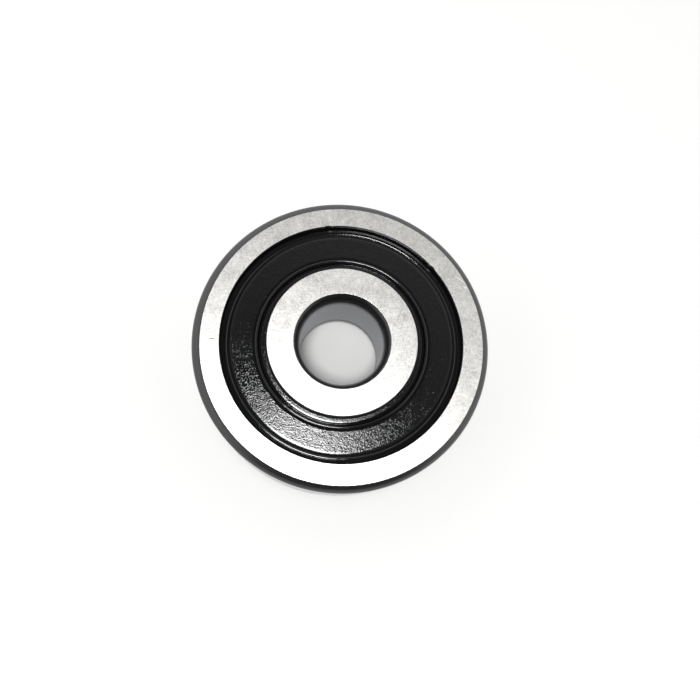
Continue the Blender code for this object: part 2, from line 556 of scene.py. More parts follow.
def ring_streaks(tree: Tree, place: Socket, pitch: float) -> Socket:
    """Draw noise out into rings round the axis, on faces, corners and cylinders alike.

    Args:
        tree: the material's tree.
        place: the Object coordinates.
        pitch: the distance from one ring to the next.

    Returns:
        A socket from 0 to 1.
    """
    heading = vectors(tree, "NORMALIZE", vectors(tree, "MULTIPLY", place, (1, 1, 0)))
    around = vectors(tree, "MULTIPLY", heading, (9, 9, 0))
    height = add_node(tree, "ShaderNodeSeparateXYZ", {0: place}).outputs["Z"]
    # Height counts 2.7 times as much as radius, so that the rings never cancel along a corner.
    across = maths(tree, "MULTIPLY_ADD", height, -2.7, radius_of(tree, place))
    lift = add_node(tree, "ShaderNodeCombineXYZ", {2: maths(tree, "MULTIPLY", across, 1 / pitch)})
    return noise(tree, vectors(tree, "ADD", around, lift.outputs[0]), 1.0, 3.0, 0.6)


# ---------------------------------------------------------------- outlines


@dataclass
class Outline:
    """A cross-section drawn as one closed loop of points, in radius and height."""

    points: list[Point] = field(default_factory=list)
    support: float = 0.015 * MM

    def line_to(self, radius: float, height: float, spacing: float = 0.0) -> "Outline":
        """Draw a straight stretch, with a close point at each end that keeps its shading flat.

        Args:
            radius: the end's distance from the axis.
            height: the end's height.
            spacing: the distance between points along the stretch, or 0 for none between.

        Returns:
            The outline, so that stretches can follow each other.
        """
        start = self.points[-1]
        length = hypot(radius - start[0], height - start[1])
        stops = []
        if length > 4 * self.support:
            stops = [self.support / length, 1 - self.support / length]
        if spacing:
            stops = [self.support / length] + spread(0, 1, round(length / spacing))[1:-1] + stops[1:]
        for stop in stops + [1.0]:
            self.points.append((start[0] + (radius - start[0]) * stop, start[1] + (height - start[1]) * stop))
        return self

    def join(self, point: Point) -> None:
        """Add a point, unless the outline already ends there."""
        if not self.points or hypot(point[0] - self.points[-1][0], point[1] - self.points[-1][1]) > CLOSE:
            self.points.append(point)

    def arc(self, centre: Point, radii: Point, start: float, end: float, steps: int) -> "Outline":
        """Draw an elliptic arc and join it to what came before.

        Args:
            centre: the ellipse's centre, in radius and height.
            radii: its half-widths along the radius and the height.
            start: the first point's angle from the outward direction, in degrees.
            end: the last point's angle.
            steps: how many facets span the arc.

        Returns:
            The outline.
        """
        for angle in spread(radians(start), radians(end), steps):
            self.join((centre[0] + radii[0] * cos(angle), centre[1] + radii[1] * sin(angle)))
        return self

    def wave(self, start: Point, end: Point, steps: int) -> "Outline":
        """Draw an S-shaped rise or fall that leaves and arrives level.

        Args:
            start: where it begins, in radius and height.
            end: where it ends.
            steps: how many facets span it.

        Returns:
            The outline.
        """
        for t in spread(0, 1, steps):
            ease = t * t * (3 - 2 * t)
            self.join((start[0] + (end[0] - start[0]) * t, start[1] + (end[1] - start[1]) * ease))
        return self

    def mirrored(self) -> "Outline":
        """Turn the loop over to the rear, running the other way round."""
        return Outline([(radius, -height) for radius, height in reversed(self.points)], self.support)


# ---------------------------------------------------------------- Geometry Nodes


def new_tree(name: str, inputs: Mapping[str, str]) -> tuple[Tree, bpy.types.bpy_prop_collection]:
    """Start a Geometry Nodes tree with a geometry input, named sizes and a finish.

    Args:
        name: the tree's name.
        inputs: each size's name and its kind of socket.

    Returns:
        The tree, and its inputs as sockets by name.
    """
    tree = bpy.data.node_groups.new(name, "GeometryNodeTree")
    tree.interface.new_socket("Geometry", in_out="OUTPUT", socket_type="NodeSocketGeometry")
    for label, kind in {"Geometry": "Geometry", **inputs, "Finish": "Material"}.items():
        tree.interface.new_socket(label, in_out="INPUT", socket_type=f"NodeSocket{kind}")
    return tree, tree.nodes.new("NodeGroupInput").outputs


def finish_tree(tree: Tree, geometry: Socket, finish: Socket) -> None:
    """Shade the result smooth, realize it and give it its finish, then end the tree there.

    Args:
        tree: the tree.
        geometry: the shape so far.
        finish: the material input.
    """
    smooth = add_node(tree, "GeometryNodeSetShadeSmooth", {"Geometry": geometry})
    real = add_node(tree, "GeometryNodeRealizeInstances", {"Geometry": smooth.outputs[0]})
    dressed = add_node(tree, "GeometryNodeSetMaterial", {"Geometry": real.outputs[0], "Material": finish})
    add_node(tree, "NodeGroupOutput", {0: dressed.outputs[0]})


def turning_tree() -> Tree:
    """Turn a flat outline round Z, then roughen a band of it.

    The outline lies in XY, X counted from the mean radius and Y being height. Moulded bodies get
    a swelling along their normals: grain in the band between two radii, unevenness everywhere.

    Returns:
        The tree.
    """
    numbers = ("Mean radius", "Grain from", "Grain to", "Grain size", "Grain depth", "Unevenness", "Seed")
    tree, size = new_tree("Turned body", {"Steps": "Int", **dict.fromkeys(numbers, "Float")})
    outline = add_node(tree, "GeometryNodeMeshToCurve", {"Mesh": size["Geometry"]})
    path = add_node(
        tree, "GeometryNodeCurvePrimitiveCircle", {"Resolution": size["Steps"], "Radius": size["Mean radius"]}
    )
    body = add_node(
        tree, "GeometryNodeCurveToMesh", {"Curve": path.outputs["Curve"], "Profile Curve": outline.outputs[0]}
    )
    place = add_node(tree, "GeometryNodeInputPosition", {}).outputs[0]
    normal = add_node(tree, "GeometryNodeInputNormal", {}).outputs[0]
    radius = radius_of(tree, place)
    band = soft_band(tree, radius, size["Grain from"], size["Grain to"])
    fineness = maths(tree, "DIVIDE", 1.0, size["Grain size"])
    coarse = maths(tree, "MULTIPLY", fineness, 0.45)
    swelling = []
    for scale, depth in ((fineness, size["Grain depth"]), (coarse, size["Unevenness"])):
        links = {"Vector": place, "W": size["Seed"], "Scale": scale, "Detail": 1.0}
        clouds = add_node(tree, "ShaderNodeTexNoise", links, noise_dimensions="4D").outputs[0]
        swelling.append(maths(tree, "MULTIPLY", maths(tree, "SUBTRACT", clouds, 0.5), depth))
    grain = maths(tree, "MULTIPLY_ADD", swelling[0], band, swelling[1])
    offset = add_node(tree, "ShaderNodeVectorMath", {0: normal, "Scale": grain}, operation="SCALE")
    moulded = add_node(
        tree, "GeometryNodeSetPosition", {"Geometry": body.outputs[0], "Offset": offset.outputs[0]}
    )
    finish_tree(tree, moulded.outputs[0], size["Finish"])
    return tree


def ball_tree() -> Tree:
    """Set a ball on the pitch circle, at one azimuth.

    Returns:
        The tree, which takes the ball's size and place and makes it whole.
    """
    sizes = ("Ball radius", "Pitch radius", "Azimuth")
    tree, size = new_tree("Ball on its circle", dict.fromkeys(sizes, "Float"))
    ball = add_node(tree, "GeometryNodeMeshIcoSphere", {"Radius": size["Ball radius"], "Subdivisions": 6})
    out = add_node(tree, "ShaderNodeCombineXYZ", {0: size["Pitch radius"]}).outputs[0]
    away = add_node(tree, "GeometryNodeTransform", {"Geometry": ball.outputs["Mesh"], "Translation": out})
    turn = add_node(tree, "ShaderNodeCombineXYZ", {2: size["Azimuth"]}).outputs[0]
    round_axis = add_node(tree, "GeometryNodeTransform", {"Geometry": away.outputs[0], "Rotation": turn})
    finish_tree(tree, round_axis.outputs[0], size["Finish"])
    return tree


def circle_of_points(tree: Tree, size: bpy.types.bpy_prop_collection) -> Socket:
    """Lay out points half a pitch away from the balls, one between each two.

    Args:
        tree: the tree, whose inputs hold "Count" and "Pitch radius".
        size: its inputs.

    Returns:
        The points.
    """
    links = {"Vertices": size["Count"], "Radius": size["Pitch radius"]}
    circle = add_node(tree, "GeometryNodeMeshCircle", links, fill_type="NONE").outputs["Mesh"]
    turn = add_node(tree, "ShaderNodeCombineXYZ", {2: maths(tree, "DIVIDE", pi, size["Count"])}).outputs[0]
    return add_node(tree, "GeometryNodeTransform", {"Geometry": circle, "Rotation": turn}).outputs[0]


def rivet_tree() -> Tree:
    """Set one rivet in each flat of the cage.

    Returns:
        The tree, which takes one rivet about its own axis.
    """
    tree, size = new_tree("Rivets round the cage", {"Count": "Int", "Pitch radius": "Float"})
    links = {"Points": circle_of_points(tree, size), "Instance": size["Geometry"]}
    set_in = add_node(tree, "GeometryNodeInstanceOnPoints", links)
    finish_tree(tree, set_in.outputs[0], size["Finish"])
    return tree


def punching_tree() -> Tree:
    """Punch a round hole through each flat of a ribbon.

    Returns:
        The tree, which takes the ribbon as one closed sheet.
    """
    sizes = ("Pitch radius", "Hole radius", "Hole depth")
    tree, size = new_tree("Punched ribbon", {"Count": "Int", **dict.fromkeys(sizes, "Float")})
    links = {"Vertices": 32, "Radius": size["Hole radius"], "Depth": size["Hole depth"]}
    punch = add_node(tree, "GeometryNodeMeshCylinder", links).outputs["Mesh"]
    links = {"Points": circle_of_points(tree, size), "Instance": punch}
    punches = add_node(tree, "GeometryNodeInstanceOnPoints", links)
    real = add_node(tree, "GeometryNodeRealizeInstances", {"Geometry": punches.outputs[0]})
    cut = add_node(
        tree,
        "GeometryNodeMeshBoolean",
        {"Mesh 1": size["Geometry"], "Mesh 2": real.outputs[0]},
        operation="DIFFERENCE",
        solver="EXACT",
    )
    finish_tree(tree, cut.outputs["Mesh"], size["Finish"])
    return tree


@dataclass(frozen=True)
class Trees:
    """The Geometry Nodes trees, built once and shared."""

    turning: Tree
    ball: Tree
    rivets: Tree
    punching: Tree


def run_tree(
    name: str, base: bpy.types.Mesh, tree: Tree, inputs: Mapping[str, Value], thickness: float = 0.0
) -> bpy.types.Object:
    """Run a tree on a base mesh and keep the result as a plain mesh object.

    Args:
        name: the finished piece's name.
        base: what goes into the tree's geometry input.
        tree: the tree.
        inputs: the tree's named inputs and their values.
        thickness: a sheet's thickness, given to the base before the tree runs, or 0.

    Returns:
        A mesh object at the origin, with no modifier left.
    """
    holder = bpy.data.objects.new(name + "_base", base)
    bpy.context.scene.collection.objects.link(holder)
    if thickness:
        sheet = holder.modifiers.new("Sheet", "SOLIDIFY")
        sheet.thickness = thickness
        sheet.offset = 1
        sheet.use_even_offset = True
    modifier = holder.modifiers.new(tree.name, "NODES")
    modifier.node_group = tree
    for item in tree.interface.items_tree:
        if item.in_out == "INPUT" and item.name in inputs:
            modifier[item.identifier] = inputs[item.name]
    evaluated = holder.evaluated_get(bpy.context.evaluated_depsgraph_get())
    mesh = bpy.data.meshes.new_from_object(evaluated)
    bpy.data.objects.remove(holder)
    return keep(name, mesh)


def keep(name: str, mesh: bpy.types.Mesh) -> bpy.types.Object:
    """Make an object of a closed mesh whose faces point outwards.

    Args:
        name: the piece's name.
        mesh: its mesh, in the frame's metres.

    Returns:
        The object, in the scene, at the origin.
    """
    mesh.name = name
    body = bmesh.new()
    body.from_mesh(mesh)
    if body.calc_volume(signed=True) < 0:
        bmesh.ops.reverse_faces(body, faces=body.faces[:])
    open_edges = sum(not edge.is_manifold for edge in body.edges)
    body.to_mesh(mesh)
    body.free()
    piece = bpy.data.objects.new(name, mesh)
    bpy.context.scene.collection.objects.link(piece)
    triangles = sum(len(face.vertices) - 2 for face in mesh.polygons)
    LOG.info("%s: %d triangles, %d open edges", name, triangles, open_edges)
    return piece


def place_piece(piece: bpy.types.Object, body: str, nodes: Iterable[str]) -> None:
    """Args:
        piece: the finished object.
        body: the CAD body that it moves with.
        nodes: the CAD nodes that it replaces.
    """
    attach(piece, body)
    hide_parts(*nodes)


@dataclass(frozen=True)
class Grain:
    """How a moulded body's surface departs from its outline."""

    inner: float
    outer: float
    size: float
    depth: float
    unevenness: float
    seed: float


def turned(
    name: str, outline: Outline, trees: Trees, finish: Material, steps: int, grain: Grain | None = None
) -> bpy.types.Object:
    """Turn an outline into a closed piece.

    Args:
        name: the piece's name.
        outline: its cross-section.
        trees: the shared trees.
        finish: its finish.
        steps: how many facets go round.
        grain: the moulded surface's grain, or none on steel.

    Returns:
        The piece.
    """
    radii = [radius for radius, _ in outline.points]
    mean = (min(radii) + max(radii)) / 2
    count = len(outline.points)
    wire = bpy.data.meshes.new(name + "_outline")
    wire.from_pydata(
        [(radius - mean, height, 0) for radius, height in outline.points],
        [(i, (i + 1) % count) for i in range(count)],
        [],
    )
    inputs = {"Mean radius": mean, "Steps": steps, "Finish": finish, "Grain size": 1 * MM}
    if grain:
        inputs |= {
            "Grain from": grain.inner,
            "Grain to": grain.outer,
            "Grain size": grain.size,
            "Grain depth": grain.depth,
            "Unevenness": grain.unevenness,
            "Seed": grain.seed,
        }
    return run_tree(name, wire, trees.turning, inputs)


# ---------------------------------------------------------------- sub-assemblies


@dataclass(frozen=True)
class Nick:
    """A small bruise on the edge of a ring's face, where another part has knocked it."""

    azimuth: float
    width: float
    depth: float


@dataclass
class Rings:
    """The two rings: ground faces, tread and bore, with corners left as turned."""

    tread: float
    bore: float
    half_width: float
    shoulder: float
    steps: int = 480
    corner_width: float = 0.95 * MM
    corner_tilt: float = 20.0
    bore_corner: Point = (0.75 * MM, 1.50 * MM)
    # The near-black corner finish runs this far down the bore past its corner.
    dark_band_reach: float = 0.55 * MM
    runout: float = 0.12 * MM
    runout_azimuth: float = -50.0
    edge_break: float = 0.05 * MM
    mouth: float = 14.26 * MM
    mouth_foot: float = 5.00 * MM
    groove: float = 14.64 * MM
    groove_top: float = 4.75 * MM
    outer_shoulder: float = 13.60 * MM
    seal_seat: float = 4.15 * MM
    race_radius: float = 3.30 * MM
    outer_race: float = 14.47 * MM
    inner_race: float = 8.04 * MM
    nicks: tuple[Nick, ...] = (
        Nick(96.0, 0.36 * MM, 0.10 * MM),
        Nick(39.5, 0.40 * MM, 0.11 * MM),
    )

    def corner_curve(self, width: float, depth: float) -> tuple[Point, Point]:
        """Find the ellipse whose arc spans a corner once grinding has cut both its ends short.

        Args:
            width: the corner's width across the face.
            depth: its depth along the axis.

        Returns:
            The ellipse's radii, and how far its centre lies from the cylinder and from the face.
        """
        tilt = radians(self.corner_tilt)
        radii = (width / (cos(tilt) - sin(tilt)), depth / (cos(tilt) - sin(tilt)))
        return radii, (radii[0] * cos(tilt), radii[1] * cos(tilt))

    def outer_outline(self) -> Outline:
        """Draw tread and corners, then seal seat, snap groove and raceway.

        Returns:
            The outer ring's outline.
        """
        top = self.half_width
        curve, inset = self.corner_curve(self.corner_width, self.corner_width)
        centre = (self.tread - inset[0], top - inset[1])
        upper = Outline().arc(centre, curve, 90 - self.corner_tilt, self.corner_tilt, 14)
        foot = top - self.corner_width
        outline = Outline(list(upper.points)).line_to(self.tread, -foot)
        outline.points += [(radius, -height) for radius, height in reversed(upper.points[:-1])]
        edge = self.edge_break
        outline.line_to(self.mouth + edge, -top)
        outline.arc((self.mouth + edge, -top + edge), (edge, edge), 270, 180, 5)
        outline.line_to(self.mouth, -self.mouth_foot).line_to(self.groove, -self.groove_top)
        outline.line_to(self.groove, -self.seal_seat).line_to(self.outer_shoulder, -self.seal_seat)
        centre = self.outer_race - self.race_radius
        reach = acos((self.outer_shoulder - centre) / self.race_radius) * 180 / pi
        race_start = (self.outer_shoulder, -self.race_radius * sin(radians(reach)))
        outline.line_to(*race_start)
        outline.arc((centre, 0), (self.race_radius, self.race_radius), -reach, reach, 24)
        outline.line_to(self.outer_shoulder, self.seal_seat).line_to(self.groove, self.seal_seat)
        outline.line_to(self.groove, self.groove_top).line_to(self.mouth, self.mouth_foot)
        outline.line_to(self.mouth, top - edge)
        outline.arc((self.mouth + edge, top - edge), (edge, edge), 180, 90, 5)
        outline.line_to(*upper.points[0])
        outline.points.pop()
        return outline

    def inner_outline(self) -> Outline:
        """Draw shoulders and raceway outside, and the bore between its corners inside.

        Returns:
            The inner ring's outline.
        """
        top = self.half_width
        width, depth = self.bore_corner
        edge = self.edge_break
        outline = Outline()
        outline.arc((self.shoulder - edge, top - edge), (edge, edge), 90, 0, 5)
        centre = self.inner_race + self.race_radius
        reach = acos((centre - self.shoulder) / self.race_radius) * 180 / pi
        outline.line_to(self.shoulder, self.race_radius * sin(radians(reach)))
        outline.arc((centre, 0), (self.race_radius, self.race_radius), 180 - reach, 180 + reach, 24)
        outline.line_to(self.shoulder, -top + edge)
        outline.arc((self.shoulder - edge, -top + edge), (edge, edge), 0, -90, 5)
        curve, inset = self.corner_curve(width, depth)
        tilt = self.corner_tilt
        outline.line_to(self.bore + width, -top)
        outline.arc((self.bore + inset[0], -top + inset[1]), curve, 270 - tilt, 180 + tilt, 12)
        ground = top - depth - self.dark_band_reach
        outline.line_to(self.bore, -ground).line_to(self.bore, ground).line_to(self.bore, top - depth)
        outline.arc((self.bore + inset[0], top - inset[1]), curve, 180 - tilt, 90 + tilt, 12)
        outline.line_to(self.shoulder - edge, top)
        outline.points.pop()
        return outline

    def zone(self, face: bpy.types.MeshPolygon) -> Zone:
        """Say which finish one facet of either ring takes: by how it was made, and near black in the seal's
        mouth as painted shade.

        Args:
            face: the facet.

        Returns:
            Its zone.
        """
        radius = hypot(face.center.x, face.center.y)
        height = abs(face.center.z)
        if height > self.half_width - CLOSE:
            return Zone.FACE
        width, depth = self.bore_corner
        on_tread = radius > self.tread - self.corner_width and height > self.half_width - self.corner_width
        # The near-black corner finish also covers the bore this far past its corner.
        on_bore = radius < self.bore + width and height > self.half_width - depth - self.dark_band_reach
        # The seal's mouth and snap groove walls take the near-black corner finish as painted shade beside the
        # black rubber.
        painted_shade_by_seal = self.mouth - 0.01 * MM < radius < self.groove + 0.01 * MM and height > self.seal_seat
        if on_tread or on_bore or painted_shade_by_seal:
            return Zone.CORNER
        return Zone.BORE if radius < self.bore + CLOSE else Zone.TREAD

    def dress(self, ring: bpy.types.Object, finishes: Mapping[Zone, Material]) -> None:
        """Give each zone of a ring its finish.

        Args:
            ring: the ring.
            finishes: a material for each zone.
        """
        ring.data.materials.clear()
        for zone in Zone:
            ring.data.materials.append(finishes[zone])
        for face in ring.data.polygons:
            face.material_index = self.zone(face).value

    def skew_corner(self, ring: bpy.types.Object) -> None:
        """Vary the front corner's width, because the ground face is not quite square with it.

        Args:
            ring: the outer ring.
        """
        for vertex in ring.data.vertices:
            radius = hypot(vertex.co.x, vertex.co.y)
            inside = radius < self.tread - 1.5 * self.corner_width
            if inside or vertex.co.z < self.half_width - self.corner_width:
                continue
            azimuth = atan2(vertex.co.y, vertex.co.x)
            share = min(1.0, (self.tread - radius) / self.corner_width)
            push = self.runout * share * cos(azimuth - radians(self.runout_azimuth))
            vertex.co.x += push * cos(azimuth)
            vertex.co.y += push * sin(azimuth)

    def bruise(self, ring: bpy.types.Object) -> None:
        """Press the nicks into the inner edge of the outer ring's front face.

        Args:
            ring: the outer ring.
        """
        reach = self.mouth + 2.5 * self.edge_break
        for vertex in ring.data.vertices:
            radius = hypot(vertex.co.x, vertex.co.y)
            if vertex.co.z < self.half_width - 2.5 * self.edge_break or radius > reach:
                continue
            azimuth = atan2(vertex.co.y, vertex.co.x)
            for nick in self.nicks:
                along = abs(azimuth - radians(nick.azimuth)) * radius / nick.width
                push = nick.depth * max(0.0, 1 - along * along)
                vertex.co.x += push * cos(azimuth)
                vertex.co.y += push * sin(azimuth)
                vertex.co.z -= 0.4 * push

    def build(self, trees: Trees, finishes: Mapping[Zone, Material]) -> None:
        """Turn both rings, dress them and set them on their bodies.

        Args:
            trees: the shared trees.
            finishes: a material for each zone.
        """
        outer = turned("roller_ring", self.outer_outline(), trees, finishes[Zone.FACE], self.steps)
        self.dress(outer, finishes)
        self.skew_corner(outer)
        self.bruise(outer)
        place_piece(outer, "outer_ring", ["outer_ring"])
        inner = turned("bored_ring", self.inner_outline(), trees, finishes[Zone.FACE], self.steps)
        self.dress(inner, finishes)
        place_piece(inner, "inner_ring", ["inner_ring"])


@dataclass
class Seal:
    """One side's seal: moulded rubber on a steel stiffening plate."""

    side: Side
    steps: int = 640
    outer: float = 14.56 * MM
    underside: float = 4.20 * MM
    rim: float = 4.48 * MM
    flat: float = 4.72 * MM
    fall: float = 0.15 * MM
    ridge: float = 13.62 * MM
    grain_outer: float = 13.08 * MM
    grain_inner: float = 10.36 * MM
    bead: float = 10.08 * MM
    valley: float = 4.27 * MM
    lip_top: float = 4.46 * MM
    lip: float = 8.93 * MM
    lip_edge: float = 0.16 * MM
    lip_foot: Point = (9.52 * MM, 4.435 * MM)
    lip_back: tuple[Point, ...] = ((9.75 * MM, 3.97 * MM), (9.20 * MM, 3.87 * MM), (8.93 * MM, 4.05 * MM))
    valley_span: Point = (9.66 * MM, 9.74 * MM)
    rim_edge: float = 0.06 * MM
    heel_edge: float = 0.08 * MM
    bead_size: Point = (0.12 * MM, 0.07 * MM)
    ridge_size: Point = (0.14 * MM, 0.07 * MM)
    plate_inner: float = 10.22 * MM
    plate_outer: float = 13.45 * MM
    plate_low: float = 3.88 * MM
    grain_size: float = 0.36 * MM
    grain_depth: float = 0.024 * MM
    unevenness: float = 0.014 * MM

    def rubber_outline(self) -> Outline:
        """Draw from the snap groove round the back to the lip, then out over the face.

        Returns:
            The rubber's outline.
        """
        heel = self.plate_inner - 0.05 * MM
        edge, rim = self.lip_edge, self.rim_edge
        outline = Outline().arc((self.outer - rim, self.rim), (rim, rim), 90, 0, 4)
        outline.line_to(self.outer, self.underside + self.heel_edge)
        outline.line_to(self.outer - self.heel_edge, self.underside)
        outline.line_to(heel, self.underside).line_to(heel, self.plate_low)
        for point in self.lip_back:
            outline.line_to(*point)
        outline.line_to(self.lip, self.lip_top - edge)
        outline.arc((self.lip + edge, self.lip_top - edge), (edge, edge), 180, 90, 7)
        outline.line_to(*self.lip_foot, spacing=0.06 * MM)
        outline.wave(self.lip_foot, (self.valley_span[0], self.valley), 5)
        bead = (self.bead, self.flat - 0.01 * MM)
        outline.line_to(self.valley_span[1], self.valley).line_to(bead[0] - self.bead_size[0], bead[1])
        outline.arc(bead, self.bead_size, 180, 0, 12)
        outline.line_to(self.grain_inner, self.flat)
        outline.line_to(self.grain_outer, self.flat - self.fall, spacing=0.12 * MM)
        low = self.flat - self.fall - 0.02 * MM
        outline.line_to(self.grain_outer + 0.04 * MM, low).line_to(self.ridge - 0.16 * MM, low)
        outline.arc((self.ridge, low), self.ridge_size, 180, 0, 12)
        outline.line_to(self.ridge + 0.15 * MM, self.rim + rim).line_to(self.outer - rim, self.rim + rim)
        outline.points.pop()
        return outline

    def plate_outline(self) -> Outline:
        """Draw a flat washer with a broken outer edge.

        Returns:
            The plate's outline.
        """
        top = self.underside - 0.03 * MM
        ease = self.heel_edge
        outline = Outline([(self.plate_outer - ease, top)]).line_to(self.plate_outer, top - ease)
        outline.line_to(self.plate_outer, self.plate_low + ease)
        outline.line_to(self.plate_outer - ease, self.plate_low)
        outline.line_to(self.plate_inner, self.plate_low).line_to(self.plate_inner, top)
        outline.line_to(self.plate_outer - ease, top)
        outline.points.pop()
        return outline

    def build(self, trees: Trees, rubber: Material, plate: Material) -> None:
        """Make both pieces and set them on the outer ring.

        Args:
            trees: the shared trees.
            rubber: the moulding's finish.
            plate: the plate's finish.
        """
        word = self.side.name.lower()
        outlines = [self.rubber_outline(), self.plate_outline()]
        if self.side is Side.REAR:
            outlines = [outline.mirrored() for outline in outlines]
        reach = (self.grain_inner, self.grain_outer)
        grain = Grain(*reach, self.grain_size, self.grain_depth, self.unevenness, self.side.value)
        face = turned(f"rubber_seal_{word}", outlines[0], trees, rubber, self.steps, grain)
        place_piece(face, "outer_ring", [f"seal_rubber_{word}"])
        back = turned(f"stiffening_plate_{word}", outlines[1], trees, plate, 192)
        place_piece(back, "outer_ring", [f"seal_plate_{word}"])


@dataclass
class Balls:
    """The balls, one on each body of its own."""

    count: int
    radius: float
    pitch_radius: float

    def build(self, trees: Trees, finish: Material) -> None:
        """Make each ball at its azimuth.

        Args:
            trees: the shared trees.
            finish: the balls' finish.
        """
        for index in range(self.count):
            inputs = {
                "Ball radius": self.radius,
                "Pitch radius": self.pitch_radius,
                "Azimuth": 2 * pi * index / self.count,
                "Finish": finish,
            }
            ball = run_tree(f"lapped_ball_{index + 1}", bpy.data.meshes.new("empty"), trees.ball, inputs)
            place_piece(ball, f"ball_{index + 1}", [f"ball_{index + 1}"])


@dataclass
class Cage:
    """Two pressed ribbon halves and the rivets between the pockets."""

    count: int
    ball_radius: float
    pitch_radius: float
    sheet: float = 0.45 * MM
    strip: Point = (9.75 * MM, 12.75 * MM)
    room: float = 0.10 * MM
    split: float = 0.03 * MM
    bend: float = 0.60 * MM
    hole: float = 0.54 * MM
    shank: float = 0.50 * MM
    head: float = 0.95 * MM
    head_height: float = 0.40 * MM

    def path(self, radius: float) -> list[Point]:
        """Trace one pitch of the ribbon's inner face.

        Args:
            radius: the distance from the axis.

        Returns:
            Angles and heights: a crown over the ball between two bends.
        """
        crown = sqrt((self.ball_radius + self.room) ** 2 - (radius - self.pitch_radius) ** 2)
        level = self.split + self.bend
        place = sqrt((crown + self.bend) ** 2 - level**2)
        meeting = asin(level / (crown + self.bend))
        stretch = sqrt(radius * self.pitch_radius)
        turns = spread(-pi / 2, meeting - pi, 6)
        half = [(place + self.bend * cos(a), level + self.bend * sin(a)) for a in turns]
        half += [(crown * cos(a), crown * sin(a)) for a in spread(meeting, pi / 2, 12)[1:]]
        leading = [(-across / stretch, height) for across, height in half]
        return leading + [(across / stretch, height) for across, height in reversed(half[:-1])]

    def ribbon_mesh(self, side: Side) -> bpy.types.Mesh:
        """Draw the inner face of one half as an open sheet.

        Args:
            side: which half it is.

        Returns:
            The sheet, with its normals away from the mid-plane.
        """
        shape = bmesh.new()
        grid = []
        for radius in spread(*self.strip, 8):
            trace = [
                (angle + 2 * pi * ball / self.count, height)
                for ball in range(self.count)
                for angle, height in self.path(radius)
            ]
            points = [(radius * cos(a), radius * sin(a), side.value * height) for a, height in trace]
            grid.append([shape.verts.new(point) for point in points])
        for inner, outer in zip(grid, grid[1:]):
            for i, corner in enumerate(inner):
                j = (i + 1) % len(inner)
                face = (corner, outer[i], outer[j], inner[j])
                shape.faces.new(face if side is Side.FRONT else face[::-1])
        mesh = bpy.data.meshes.new("ribbon")
        shape.to_mesh(mesh)
        shape.free()
        return mesh

    def rivet_mesh(self) -> bpy.types.Mesh:
        """Turn one rivet about its own axis: a shank between two domed heads.

        Returns:
            The rivet's mesh.
        """
        seat = self.split + self.sheet + 0.02 * MM
        dome = [(self.head * sin(a), seat + self.head_height * cos(a)) for a in spread(0, pi / 2, 6)]
        half = dome + [(self.shank, seat)]
        outline = half + [(radius, -height) for radius, height in reversed(half)]
        shape = bmesh.new()
        verts = [shape.verts.new((radius, 0, height)) for radius, height in outline]
        edges = [shape.edges.new(pair) for pair in zip(verts, verts[1:])]
        bmesh.ops.spin(
            shape, geom=verts + edges, cent=(0, 0, 0), axis=(0, 0, 1), angle=2 * pi, steps=24, use_merge=True
        )
        bmesh.ops.remove_doubles(shape, verts=shape.verts[:], dist=0.001 * MM)
        bmesh.ops.recalc_face_normals(shape, faces=shape.faces[:])
        mesh = bpy.data.meshes.new("rivet")
        shape.to_mesh(mesh)
        shape.free()
        return mesh

    def build(self, trees: Trees, strip: Material) -> None:
        """Press and punch both halves, then set the rivets.

        Args:
            trees: the shared trees.
            strip: the pressed strip's finish.
        """
        ring = {"Count": self.count, "Pitch radius": self.pitch_radius, "Finish": strip}
        for side in Side:
            word = side.name.lower()
            punch = {**ring, "Hole radius": self.hole, "Hole depth": 3 * MM}
            half = run_tree(f"ribbon_cage_{word}", self.ribbon_mesh(side), trees.punching, punch, self.sheet)
            place_piece(half, "cage", [f"cage_half_{word}"])
        rivets = run_tree("cage_rivets", self.rivet_mesh(), trees.rivets, ring)
        place_piece(rivets, "cage", [f"cage_rivet_{i + 1}" for i in range(self.count)])


# ---------------------------------------------------------------- studio


